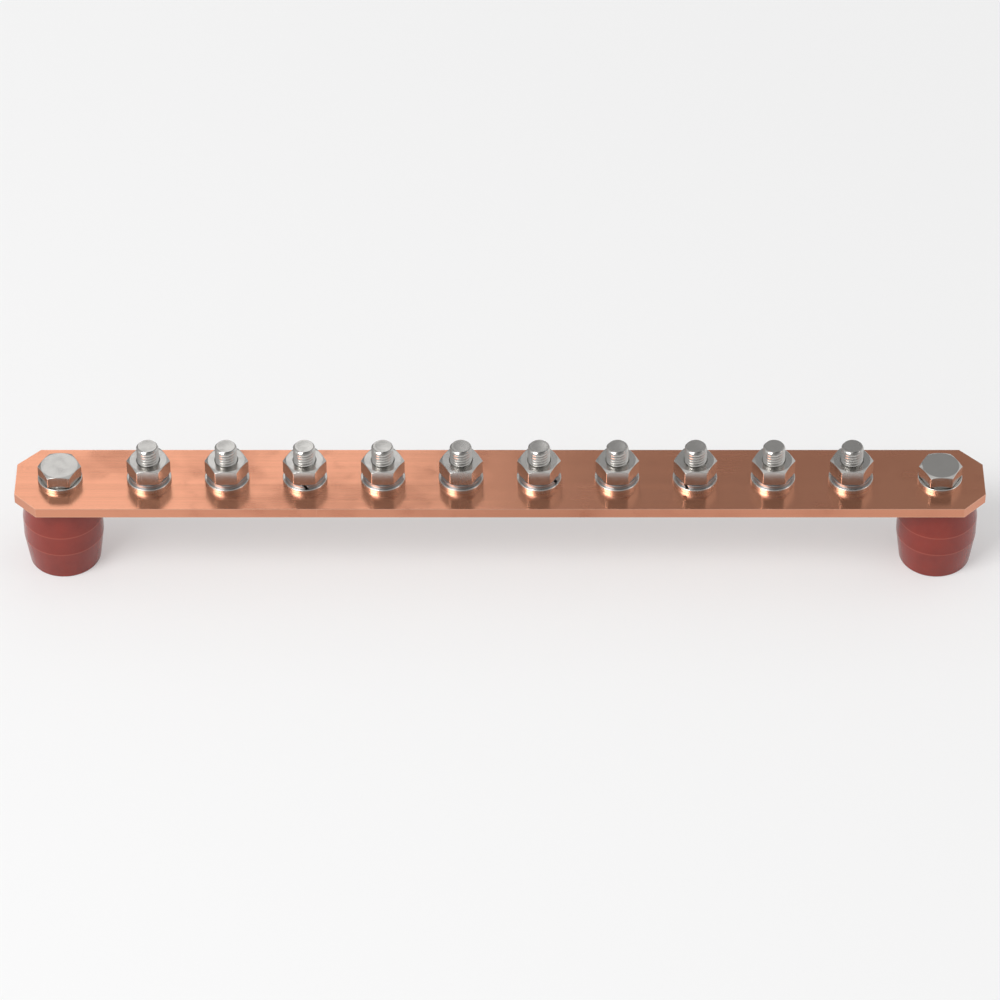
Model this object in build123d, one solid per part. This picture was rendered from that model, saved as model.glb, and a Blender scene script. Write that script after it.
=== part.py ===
from build123d import *
from math import cos, radians, tan
import os

# Equipotential bonding bar: a flat copper bar on two moulded post insulators, with ten
# screw terminals. All sizes are in millimetres. The origin is the centre of the mounting
# plane, where both insulators stand; +X runs along the bar and +Z points away from the
# wall, rack or floor that carries it. Every thread is a plain cylinder here.

# Copper bar
bar_width = 40.0
bar_thickness = 5.0
bar_corner_cut = 10.0
bar_edge_round = 0.4
terminal_count = 10
terminal_pitch = 35.0
terminal_to_fixing = 40.0
fixing_to_end = 20.0
slot_travel = 4.0
bar_hole_clearance = 0.5

# M10 hexagon hardware
thread_diameter = 10.0
thread_clearance = 0.05
across_flats = 17.0
hexagon_chamfer_circle = 16.5
hexagon_chamfer_angle = 25.0
head_height = 6.4
head_collar_diameter = 16.4
head_collar_height = 0.5
tip_chamfer = 0.9
nut_height = 8.0
nut_countersink = 0.35
terminal_projection = 8.2

# Washers
flat_washer_diameter = 20.0
flat_washer_thickness = 2.0
flat_washer_clearance = 0.25
spring_washer_diameter = 18.1
spring_washer_thickness = 1.8
spring_washer_clearance = 0.1
spring_split_width = 1.3
spring_split_slant = 30.0
spring_split_turn = 137.5

# Post insulators with their tapped inserts
insulator_height = 40.0
insulator_end_diameter = 32.0
insulator_band_diameter = 36.0
insulator_band_height = 10.0
insulator_edge_round = 0.5
insert_across_flats = 17.0
insert_groove_width = 4.0
insert_groove_depth = 1.5
insert_floor = 1.0
insert_lead_in = 0.4
thread_runout = 2.5
drill_point_angle = 118.0
fixing_engagement = 9.0

# Sizes and levels that follow from the ones above
terminal_span = (terminal_count - 1) * terminal_pitch
fixing_offset = terminal_span / 2 + terminal_to_fixing
bar_length = 2 * (fixing_offset + fixing_to_end)
bar_hole_diameter = thread_diameter + 2 * bar_hole_clearance
tapped_radius = thread_diameter / 2 + thread_clearance
thread_depth = fixing_engagement + thread_runout
drill_point_depth = tapped_radius / tan(radians(drill_point_angle / 2))
insert_length = thread_depth + drill_point_depth + insert_floor
bar_underside = insulator_height
bar_top = bar_underside + bar_thickness
spring_washer_level = bar_top + flat_washer_thickness
nut_level = spring_washer_level + spring_washer_thickness
terminal_screw_length = nut_level + nut_height + terminal_projection - bar_underside
fixing_screw_length = flat_washer_thickness + bar_thickness + fixing_engagement


def turned(outline):
    """A solid of revolution about Z from an outline of (radius, height) points."""
    points = [(radius, 0, height) for radius, height in outline]
    profile = make_face(Polyline(*points, close=True))
    return revolve(profile, Axis.Z)


def chamfered_hexagon(height, chamfer_top, chamfer_bottom):
    """A hexagonal prism from z = 0 up, its corners turned off by a flat cone at the chosen ends."""
    corner_radius = across_flats / 2 / cos(radians(30))
    outer = corner_radius + 1
    inner = hexagon_chamfer_circle / 2
    drop = (outer - inner) * tan(radians(hexagon_chamfer_angle))
    outline = [(0, 0)]
    if chamfer_bottom:
        outline += [(inner, 0), (outer, drop)]
    else:
        outline += [(outer, 0)]
    if chamfer_top:
        outline += [(outer, height - drop), (inner, height)]
    else:
        outline += [(outer, height)]
    outline += [(0, height)]
    prism = extrude(RegularPolygon(corner_radius, 6), height)
    return prism & turned(outline)


def hexagon_screw(length):
    """A fully threaded screw standing on its head's seat, z = 0, with the tip up."""
    radius = thread_diameter / 2
    shank = turned([
        (0, -head_collar_height),
        (radius, -head_collar_height),
        (radius, length - tip_chamfer),
        (radius - tip_chamfer, length),
        (0, length),
    ])
    collar = Pos(0, 0, -head_collar_height / 2) * Cylinder(
        head_collar_diameter / 2, head_collar_height)
    hexagon = chamfered_hexagon(
        head_height - head_collar_height, chamfer_top=False, chamfer_bottom=True)
    return Pos(0, 0, -head_height) * hexagon + collar + shank


def hexagon_nut():
    """A nut from z = 0 up, chamfered outside and countersunk inside at both ends."""
    mouth = tapped_radius + nut_countersink
    thread = turned([
        (0, 0),
        (mouth, 0),
        (tapped_radius, nut_countersink),
        (tapped_radius, nut_height - nut_countersink),
        (mouth, nut_height),
        (0, nut_height),
    ])
    return chamfered_hexagon(nut_height, chamfer_top=True, chamfer_bottom=True) - thread


def flat_washer():
    """A plain washer from z = 0 up."""
    bore = thread_diameter / 2 + flat_washer_clearance
    ring = Circle(flat_washer_diameter / 2) - Circle(bore)
    return extrude(ring, flat_washer_thickness)


def spring_washer(turn):
    """A split lock washer pressed flat, from z = 0 up, its slanted split turned about Z."""
    bore = thread_diameter / 2 + spring_washer_clearance
    ring = extrude(Circle(spring_washer_diameter / 2) - Circle(bore), spring_washer_thickness)
    reach = spring_washer_diameter
    blade = Box(reach, spring_split_width, reach, align=(Align.MIN, Align.CENTER, Align.CENTER))
    split = Pos(0, 0, spring_washer_thickness / 2) * Rot(spring_split_slant, 0, 0) * blade
    return Rot(0, 0, turn) * (ring - split)


def fixing_slot(x, along_bar):
    """Two overlapping drilled holes that let the bar shift by slot_travel on its insulator."""
    step = slot_travel / 2
    places = [(x - step, 0), (x + step, 0)] if along_bar else [(x, -step), (x, step)]
    first, second = [Pos(*place) * Circle(bar_hole_diameter / 2) for place in places]
    return first + second


def copper_bar(terminals):
    """The flat bar with cut corners, a hole at each terminal and a slot at each end."""
    blank = Rectangle(bar_length, bar_width)
    blank = chamfer(blank.vertices(), bar_corner_cut)
    bar = extrude(blank, bar_thickness)
    flats = bar.faces().filter_by(Axis.Z)
    bar = fillet(flats.edges(), bar_edge_round)
    openings = [Pos(x, 0) * Circle(bar_hole_diameter / 2) for x in terminals]
    openings += [fixing_slot(-fixing_offset, along_bar=False)]
    openings += [fixing_slot(fixing_offset, along_bar=True)]
    for opening in openings:
        bar -= extrude(opening, bar_thickness)
    return Pos(0, 0, bar_underside) * bar


def insert_blank():
    """The outer form of a tapped insert from its face, z = 0, up: a hexagon with an anchor groove."""
    corner_radius = insert_across_flats / 2 / cos(radians(30))
    prism = extrude(RegularPolygon(corner_radius, 6), insert_length)
    groove = extrude(
        Circle(corner_radius + 1) - Circle(insert_across_flats / 2 - insert_groove_depth),
        insert_groove_width)
    return prism - Pos(0, 0, (insert_length - insert_groove_width) / 2) * groove


def tapped_insert():
    """An insert with its blind tapped hole, drill point and lead-in chamfer."""
    hole = turned([
        (0, 0),
        (tapped_radius + insert_lead_in, 0),
        (tapped_radius, insert_lead_in),
        (tapped_radius, thread_depth),
        (0, thread_depth + drill_point_depth),
    ])
    return insert_blank() - hole


def at_bar_end(piece):
    """A piece made at an insulator's foot, turned over to its other end, against the bar."""
    return Pos(0, 0, insulator_height) * Rot(180, 0, 0) * piece


def insulator_body():
    """The moulded barrel: two cones and a cylindrical band, closed round both inserts."""
    end_radius = insulator_end_diameter / 2
    band_radius = insulator_band_diameter / 2
    band_low = (insulator_height - insulator_band_height) / 2
    band_high = band_low + insulator_band_height
    barrel = turned([
        (0, 0),
        (end_radius, 0),
        (band_radius, band_low),
        (band_radius, band_high),
        (end_radius, insulator_height),
        (0, insulator_height),
    ])
    ends = barrel.faces().filter_by(Axis.Z)
    barrel = fillet(ends.edges(), insulator_edge_round)
    return barrel - insert_blank() - at_bar_end(insert_blank())


def terminal_pieces(number, x):
    """One screw terminal: the screw from below the bar, two washers and the nut above it."""
    turn = number * spring_split_turn
    return {
        f"hex_screw_{number:02d}": Pos(x, 0, bar_underside) * hexagon_screw(terminal_screw_length),
        f"flat_washer_{number:02d}": Pos(x, 0, bar_top) * flat_washer(),
        f"spring_washer_{number:02d}": Pos(x, 0, spring_washer_level) * spring_washer(turn),
        f"hex_nut_{number:02d}": Pos(x, 0, nut_level) * hexagon_nut(),
    }


def support_pieces(side, x):
    """One insulator with its inserts, and the screw and washer that hold the bar to it."""
    foot = Pos(x, 0, 0)
    turned_screw = Rot(180, 0, 0) * hexagon_screw(fixing_screw_length)
    return {
        f"insulator_{side}": foot * insulator_body(),
        f"foot_insert_{side}": foot * tapped_insert(),
        f"top_insert_{side}": foot * at_bar_end(tapped_insert()),
        f"fixing_washer_{side}": Pos(x, 0, bar_top) * flat_washer(),
        f"fixing_screw_{side}": Pos(x, 0, bar_top + flat_washer_thickness) * turned_screw,
    }


def all_pieces():
    """Every piece of the bonding bar by name, in place."""
    terminals = [index * terminal_pitch - terminal_span / 2 for index in range(terminal_count)]
    pieces = {"copper_bar": copper_bar(terminals)}
    for number, x in enumerate(terminals, start=1):
        pieces.update(terminal_pieces(number, x))
    pieces.update(support_pieces("left", -fixing_offset))
    pieces.update(support_pieces("right", fixing_offset))
    return pieces


os.makedirs("parts", exist_ok=True)
for name, piece in all_pieces().items():
    export_step(piece, f"parts/{name}.step")
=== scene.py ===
"""Looks of an equipotential bonding bar: true threads, rounded edges and a finish for every piece."""

import logging
import math
from dataclasses import dataclass
from enum import Enum

import bpy
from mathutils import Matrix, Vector

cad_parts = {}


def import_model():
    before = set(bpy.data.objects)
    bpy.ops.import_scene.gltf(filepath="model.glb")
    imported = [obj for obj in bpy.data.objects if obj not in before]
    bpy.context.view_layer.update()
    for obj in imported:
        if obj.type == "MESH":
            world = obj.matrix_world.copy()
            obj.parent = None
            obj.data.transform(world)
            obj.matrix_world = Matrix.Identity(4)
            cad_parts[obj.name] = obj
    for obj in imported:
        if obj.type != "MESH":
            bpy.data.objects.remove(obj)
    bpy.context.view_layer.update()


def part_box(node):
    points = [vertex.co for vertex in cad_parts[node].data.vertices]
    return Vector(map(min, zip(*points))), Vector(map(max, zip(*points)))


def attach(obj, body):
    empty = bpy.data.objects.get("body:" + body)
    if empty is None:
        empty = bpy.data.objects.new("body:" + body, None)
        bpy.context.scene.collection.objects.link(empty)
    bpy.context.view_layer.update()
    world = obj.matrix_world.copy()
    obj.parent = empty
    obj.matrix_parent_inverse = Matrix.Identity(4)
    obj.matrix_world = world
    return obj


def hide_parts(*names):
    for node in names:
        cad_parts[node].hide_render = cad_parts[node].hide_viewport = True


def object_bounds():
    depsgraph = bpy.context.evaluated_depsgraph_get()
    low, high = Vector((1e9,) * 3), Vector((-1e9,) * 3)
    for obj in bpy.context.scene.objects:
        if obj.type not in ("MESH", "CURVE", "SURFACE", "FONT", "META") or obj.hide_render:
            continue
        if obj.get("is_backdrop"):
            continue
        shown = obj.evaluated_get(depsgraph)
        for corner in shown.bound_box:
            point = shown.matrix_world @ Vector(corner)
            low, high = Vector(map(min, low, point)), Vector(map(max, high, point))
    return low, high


log = logging.getLogger("bonding_bar")

MILLIMETRE = 0.001
FULL_TURN = 2 * math.pi
WELD = 0.001 * MILLIMETRE
BODY = "root"
TERMINALS = 10

Colour = tuple[float, float, float, float]


class Socket(Enum):
    """The kinds of value that a node group takes in or gives out."""

    GEOMETRY = "NodeSocketGeometry"
    NUMBER = "NodeSocketFloat"
    WHOLE = "NodeSocketInt"
    SWITCH = "NodeSocketBool"
    VECTOR = "NodeSocketVector"
    MATERIAL = "NodeSocketMaterial"


class Field:
    """An output of a node that takes part in sums as a number does."""

    def __init__(self, graph: "Graph", socket: bpy.types.NodeSocket) -> None:
        """Hold an output socket and the graph that it belongs to."""
        self.graph = graph
        self.socket = socket

    def __add__(self, other: "Value") -> "Field":
        """This value plus the other."""
        return self.graph.math("ADD", self, other)

    def __sub__(self, other: "Value") -> "Field":
        """This value less the other."""
        return self.graph.math("SUBTRACT", self, other)

    def __rsub__(self, other: "Value") -> "Field":
        """The other value less this one."""
        return self.graph.math("SUBTRACT", other, self)

    def __mul__(self, other: "Value") -> "Field":
        """This value times the other."""
        return self.graph.math("MULTIPLY", self, other)

    def __truediv__(self, other: "Value") -> "Field":
        """This value divided by the other."""
        return self.graph.math("DIVIDE", self, other)

    def __gt__(self, other: "Value") -> "Field":
        """1 where this value is the greater, else 0."""
        return self.graph.math("GREATER_THAN", self, other)

    __radd__ = __add__
    __rmul__ = __mul__


Value = Field | float | int | str | tuple[float, ...]


class Graph:
    """A node tree written as sums of its sockets."""

    NOISE_ROUGHNESS = 0.6

    def __init__(self, tree: bpy.types.NodeTree) -> None:
        """Start writing in a tree."""
        self.tree = tree

    def feed(self, socket: bpy.types.NodeSocket, value: Value) -> None:
        """Link a field to an input socket, or set a plain value on it.

        Args:
            socket: The input socket.
            value: A field, or a value that the socket can hold.
        """
        if isinstance(value, Field):
            self.tree.links.new(value.socket, socket)
        else:
            socket.default_value = value

    def get(self, kind: str, output: str | int, inputs: dict[str | int, Value] | None = None,
            **settings: object) -> Field:
        """Place a node, set it up, feed it and take one of its outputs.

        Args:
            kind: The node's type.
            output: The name or the number of the output.
            inputs: A value for each input, by its name or number.
            settings: The node's own options.

        Returns:
            The output as a field.
        """
        node = self.tree.nodes.new(kind)
        for option, value in settings.items():
            setattr(node, option, value)
        for key, value in (inputs or {}).items():
            self.feed(self.find(node.inputs, key), value)
        return Field(self, self.find(node.outputs, output))

    @staticmethod
    def find(sockets: bpy.types.bpy_prop_collection, key: str | int) -> bpy.types.NodeSocket:
        """The socket with that number, or the one in use with that name."""
        named = (socket for socket in sockets if socket.name == key and socket.enabled)
        return sockets[key] if isinstance(key, int) else next(named)

    def math(self, operation: str, *values: Value) -> Field:
        """One sum of up to three values."""
        return self.get("ShaderNodeMath", 0, dict(enumerate(values)), operation=operation)

    def least(self, first: Value, second: Value) -> Field:
        """The smaller of two values."""
        return self.math("MINIMUM", first, second)

    def most(self, first: Value, second: Value) -> Field:
        """The larger of two values."""
        return self.math("MAXIMUM", first, second)

    def within(self, value: Value, low: Value, high: Value) -> Field:
        """A value kept between two limits."""
        return self.most(self.least(value, high), low)

    def between(self, share: Value, low: Value, high: Value) -> Field:
        """The value that lies a share of the way from low to high."""
        return self.math("MULTIPLY_ADD", share, high - low, low)

    def ramp(self, value: Value, low: Value, high: Value) -> Field:
        """0 below low, 1 above high and a soft step between them."""
        inputs = {"Value": value, "From Min": low, "From Max": high}
        return self.get("ShaderNodeMapRange", "Result", inputs, interpolation_type="SMOOTHSTEP")

    def parts(self, vector: Value) -> tuple[Field, Field, Field]:
        """The X, Y and Z of a vector."""
        node = self.get("ShaderNodeSeparateXYZ", 0, {0: vector}).socket.node
        return tuple(Field(self, socket) for socket in node.outputs)

    def vector(self, x: Value, y: Value, z: Value) -> Field:
        """A vector from its X, Y and Z."""
        return self.get("ShaderNodeCombineXYZ", 0, {0: x, 1: y, 2: z})

    def radius(self, vector: Value) -> Field:
        """How far a point lies from the Z axis."""
        x, y, _ = self.parts(vector)
        return self.math("SQRT", x * x + y * y)

    def noise(self, place: Value, detail: float) -> Field:
        """Smooth noise from 0 to 1, about one patch to each unit."""
        inputs = {"Vector": place, "Scale": 1.0, "Detail": detail, "Roughness": self.NOISE_ROUGHNESS}
        return self.get("ShaderNodeTexNoise", 0, inputs)

    def blend(self, share: Value, first: Value, second: Value) -> Field:
        """The colour that lies a share of the way from the first to the second, at most all of it."""
        inputs = {"Factor": share, "A": first, "B": second}
        return self.get("ShaderNodeMix", "Result", inputs, data_type="RGBA")


class NodeGroup(Graph):
    """A node group with named inputs and outputs, which is written on its first use."""

    NAME = ""
    KIND = ""
    INPUTS: dict[Socket, list[str]] = {}
    OUTPUTS: dict[Socket, list[str]] = {}

    def __init__(self) -> None:
        """Make the group's sockets and write what lies between them."""
        super().__init__(bpy.data.node_groups.new(self.NAME, self.KIND))
        for side, kinds in (("INPUT", self.INPUTS), ("OUTPUT", self.OUTPUTS)):
            for kind, names in kinds.items():
                for name in names:
                    self.tree.interface.new_socket(name, in_out=side, socket_type=kind.value)
        self.inlet = self.tree.nodes.new("NodeGroupInput")
        outlet = self.tree.nodes.new("NodeGroupOutput")
        for number, value in enumerate(self.write()):
            self.feed(outlet.inputs[number], value)

    @classmethod
    def made(cls) -> bpy.types.NodeTree:
        """The group's tree, written now if it isn't there yet."""
        return bpy.data.node_groups.get(cls.NAME) or cls().tree

    def take(self, name: str) -> Field:
        """The group's input of that name."""
        return Field(self, self.inlet.outputs[name])

    def write(self) -> tuple[Field, ...]:
        """Write the group and give a field for each output."""
        raise NotImplementedError


class ShapeTree(NodeGroup):
    """A geometry tree that shapes, fills in or places a piece."""

    KIND = "GeometryNodeTree"
    OUTPUTS = {Socket.GEOMETRY: ["Geometry"]}

    @classmethod
    def step(cls, values: dict[str, object]) -> "Step":
        """This tree as a modifier, with a value for each of its inputs."""
        return Step("NODES", values, cls)

    def position(self) -> Field:
        """Where each point is."""
        return self.get("GeometryNodeInputPosition", 0)

    def read(self, name: str, kind: str) -> Field:
        """What each point keeps under a name."""
        return self.get("GeometryNodeInputNamedAttribute", "Attribute", {"Name": name}, data_type=kind)

    def store(self, geometry: Field, name: str, value: Value, kind: str) -> Field:
        """A geometry whose points keep a value of some kind under a name."""
        inputs = {"Geometry": geometry, "Name": name, "Value": value}
        return self.get("GeometryNodeStoreNamedAttribute", 0, inputs, data_type=kind, domain="POINT")

    def sheet(self, columns: Value, rows: Value) -> tuple[Field, Field, Field]:
        """Make a flat grid to be bent into shape.

        Args:
            columns: How many faces it has from side to side.
            rows: How many rows of points it has.

        Returns:
            The grid, and at each point the share of the way across and the number of the row.
        """
        grid = self.get("GeometryNodeMeshGrid", "Mesh", {
            "Size X": 1.0, "Size Y": 1.0, "Vertices X": columns + 1, "Vertices Y": rows})
        across, along, _ = self.parts(self.position())
        return grid, across + 0.5, self.math("ROUND", (along + 0.5) * (rows - 1))

    def swing(self, geometry: Field, radius: Value, angle: Value, height: Value) -> Field:
        """A geometry with each point at its own radius, turn and height round the Z axis."""
        x, y = (radius * self.math(function, angle) for function in ("COSINE", "SINE"))
        return self.get("GeometryNodeSetPosition", 0, {
            "Geometry": geometry, "Position": self.vector(x, y, height)})

    def join(self, *pieces: Field) -> Field:
        """Make several geometries one.

        Args:
            pieces: The geometries, in order.

        Returns:
            The joined geometry.
        """
        joined = self.get("GeometryNodeJoinGeometry", 0)
        for piece in reversed(pieces):
            self.tree.links.new(piece.socket, joined.socket.node.inputs[0])
        return joined

    def flip(self, mesh: Field, chosen: Value = True) -> Field:
        """A mesh with its faces turned round where they are chosen."""
        return self.get("GeometryNodeFlipFaces", 0, {"Mesh": mesh, "Selection": chosen})

    def weld(self, geometry: Field) -> Field:
        """A geometry with the points that meet made one."""
        return self.get("GeometryNodeMergeByDistance", 0, {"Geometry": geometry, "Distance": WELD})

    def choose(self, index: Value, choices: list[float]) -> Field:
        """Look a number up in a list.

        Args:
            index: The number's place in the list.
            choices: The list.

        Returns:
            The number.
        """
        node = self.get("GeometryNodeIndexSwitch", 0, {"Index": index}, data_type="FLOAT").socket.node
        while len(node.index_switch_items) < len(choices):
            node.index_switch_items.new()
        for number, choice in enumerate(choices):
            node.inputs[str(number)].default_value = choice
        return Field(self, node.outputs[0])

    def spread(self, count: Value, pitch: Value, level: Value) -> Field:
        """Points at a pitch along X, as many as counted, with their middle over the origin."""
        start = self.vector((1 - count) * pitch / 2, 0.0, level)
        return self.get("GeometryNodeMeshLine", 0, {
            "Count": count, "Offset": self.vector(pitch, 0.0, 0.0), "Start Location": start})


class TurnedPiece(ShapeTree):
    """Turns a profile round Z, with a chamfered hexagon where the profile asks for one."""

    NAME = "Turned Piece"
    INPUTS = {Socket.GEOMETRY: ["Profile"], Socket.WHOLE: ["Segments"],
              Socket.NUMBER: ["Across Flats", "Chamfer Circle", "Chamfer Slope"]}
    SIDE = FULL_TURN / 6

    def write(self) -> tuple[Field, ...]:
        """Sweep the profile round and leave out the stretches that a thread fills in.

        Returns:
            The turned piece.
        """
        profile = self.take("Profile")
        rows = self.get("GeometryNodeAttributeDomainSize", "Point Count", {"Geometry": profile})
        sheet, share, row = self.sheet(self.take("Segments"), rows)
        point, form = (
            self.get("GeometryNodeSampleIndex", 0, {"Geometry": profile, "Value": value, "Index": row},
                     data_type="FLOAT_VECTOR", domain="POINT")
            for value in (self.position(), self.read("form", "FLOAT_VECTOR")))
        radius, _, height = self.parts(point)
        hexagon, drop, gap = self.parts(form)
        angle = share * FULL_TURN
        from_flat = self.math("FLOORED_MODULO", angle, self.SIDE) - self.SIDE / 2
        flat = self.take("Across Flats") / 2 / self.math("COSINE", from_flat)
        past_circle = self.most(flat - self.take("Chamfer Circle") / 2, 0.0)
        height = height + drop * past_circle * self.take("Chamfer Slope")
        radius = self.between(hexagon, radius, flat)
        swept = self.swing(self.store(sheet, "gap", gap, "FLOAT"), radius, angle, height)
        kept = self.get("GeometryNodeDeleteGeometry", 0, {
            "Geometry": swept, "Selection": self.read("gap", "FLOAT") > 0.5}, domain="FACE", mode="ALL")
        clean = self.get("GeometryNodeRemoveAttribute", 0, {"Geometry": kept, "Name": "gap"})
        return (self.weld(clean),)


class HelicalThread(ShapeTree):
    """Adds a helical thread between the two rings that a turned piece leaves open.

    An end whose ring is no wider than the thread's inner radius runs out there, as at a
    screw's tip. An end with a wider ring is countersunk, as a nut's mouth is. The ribbon's
    rows, the root and the crest are given in sixteenths of the lead.
    """

    NAME = "Helical Thread"
    INPUTS = {Socket.GEOMETRY: ["Geometry"], Socket.WHOLE: ["Segments"], Socket.SWITCH: ["Inside"],
              Socket.NUMBER: ["Inner Radius", "Outer Radius", "Lead", "Phase", "Bottom", "Top",
                              "Bottom Ring", "Top Ring"]}
    ROWS = [0, 2, 3.7, 5.4, 7, 9, 10.6, 12.3, 14, 16]
    PITCH_PARTS = 16
    ROOT_PARTS = 4
    CREST_PARTS = 2

    def write(self) -> tuple[Field, ...]:
        """Wind a ribbon with the thread's section and trim it at both ends.

        Returns:
            The piece with its thread.
        """
        lead, phase, bottom, top, inner = (
            self.take(name) for name in ("Lead", "Phase", "Bottom", "Top", "Inner Radius"))
        first = self.math("FLOOR", (bottom - phase) / lead) - 1
        turns = self.math("CEIL", (top - phase) / lead) + 1 - first
        ribbon, share, row = self.sheet(turns * self.take("Segments"), len(self.ROWS))
        turn = share * turns
        up = self.choose(row, [part / self.PITCH_PARTS for part in self.ROWS])
        level = self.within(phase + lead * (first + turn + up), bottom, top)
        half_root = self.ROOT_PARTS / self.PITCH_PARTS / 2
        half_crest = self.CREST_PARTS / self.PITCH_PARTS / 2
        rise = 0.5 - self.math("ABSOLUTE", up - 0.5) - half_root
        rise = self.within(rise / (0.5 - half_root - half_crest), 0.0, 1.0)
        radius = self.between(rise, inner, self.take("Outer Radius"))
        for ring, distance in ((self.take("Bottom Ring"), level - bottom),
                               (self.take("Top Ring"), top - level)):
            side = 1 - 2 * (ring > inner + WELD)
            radius = side * self.least(side * radius, side * ring + distance)
        wound = self.swing(ribbon, radius, turn * FULL_TURN, level)
        thread = self.weld(self.flip(wound, self.take("Inside")))
        return (self.weld(self.join(self.take("Geometry"), thread)),)


class SplitWasher(ShapeTree):
    """Bends a square wire round into a washer with a slanted split."""

    NAME = "Split Washer"
    INPUTS = {Socket.GEOMETRY: ["Geometry"], Socket.WHOLE: ["Segments"],
              Socket.NUMBER: ["Bore Radius", "Outer Radius", "Thickness", "Split Width", "Split Slope"]}

    def write(self) -> tuple[Field, ...]:
        """Bend the wire so that both its ends are parallel to the middle of the split.

        Returns:
            The washer.
        """
        wire = self.get("GeometryNodeMeshCube", "Mesh", {
            "Size": (1.0, 1.0, 1.0), "Vertices X": self.take("Segments") + 1, "Vertices Y": 2,
            "Vertices Z": 2})
        along, across, up = self.parts(self.position())
        thickness = self.take("Thickness")
        radius = self.between(across + 0.5, self.take("Bore Radius"), self.take("Outer Radius"))
        middle = 0 - up * thickness * self.take("Split Slope")
        half_width = self.take("Split Width") / 2
        start = self.math("ARCSINE", (middle + half_width) / radius)
        end = self.math("ARCSINE", (middle - half_width) / radius) + FULL_TURN
        angle = self.between(0.5 - along, start, end)
        return (self.swing(wire, radius, angle, (up + 0.5) * thickness),)


class PunchedBar(ShapeTree):
    """Fills a flat bar's outline round its holes and slots and makes it thick."""

    NAME = "Punched Bar"
    INPUTS = {Socket.GEOMETRY: ["Geometry"], Socket.WHOLE: ["Holes", "Arc Points"],
              Socket.NUMBER: ["Length", "Width", "Thickness", "Corner Cut", "Hole Pitch", "Hole Radius",
                              "Slot Offset", "Slot Travel"]}

    def write(self) -> tuple[Field, ...]:
        """Draw the outline, the holes and the slots, fill what is left and raise it.

        Returns:
            The bar, from zero up.
        """
        blank = self.get("GeometryNodeCurvePrimitiveQuadrilateral", 0, {
            "Width": self.take("Length"), "Height": self.take("Width")})
        outline = self.get("GeometryNodeFilletCurve", 0, {
            "Curve": blank, "Count": 1, "Radius": self.take("Corner Cut")}, mode="POLY")
        circle = self.get("GeometryNodeCurvePrimitiveCircle", 0, {
            "Resolution": self.take("Arc Points"), "Radius": self.take("Hole Radius")})
        holes = self.get("GeometryNodeInstanceOnPoints", 0, {
            "Points": self.spread(self.take("Holes"), self.take("Hole Pitch"), 0.0), "Instance": circle})
        slots = [self.slot(circle, along_bar) for along_bar in (False, True)]
        cuts = self.get("GeometryNodeRealizeInstances", 0, {"Geometry": self.join(outline, holes, *slots)})
        underside = self.get("GeometryNodeFillCurve", 0, {"Curve": cuts}, mode="NGONS")
        raised = self.get("GeometryNodeExtrudeMesh", 0, {
            "Mesh": underside, "Offset": (0.0, 0.0, 1.0), "Offset Scale": self.take("Thickness"),
            "Individual": False}, mode="FACES")
        return (self.weld(self.join(raised, self.flip(underside))),)

    def slot(self, circle: Field, along_bar: bool) -> Field:
        """Widen a circle to the outline of two holes that overlap.

        Args:
            circle: The outline of one hole.
            along_bar: True for the right-hand slot, which lies along the bar.

        Returns:
            The slot's outline in its place.
        """
        x, y, _ = self.parts(self.position())
        radius = self.take("Hole Radius")
        step = self.take("Slot Travel") / 2
        ahead, aside = (x, y) if along_bar else (y, x)
        sideways = step * aside / radius
        reach = step * self.math("ABSOLUTE", ahead) / radius
        stretch = (reach + self.math("SQRT", radius * radius - sideways * sideways)) / radius
        place = self.vector(x * stretch, y * stretch, 0.0)
        widened = self.get("GeometryNodeSetPosition", 0, {"Geometry": circle, "Position": place})
        offset = self.take("Slot Offset") * (1 if along_bar else -1)
        return self.get("GeometryNodeTransform", 0, {
            "Geometry": widened, "Translation": self.vector(offset, 0.0, 0.0)})


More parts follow.
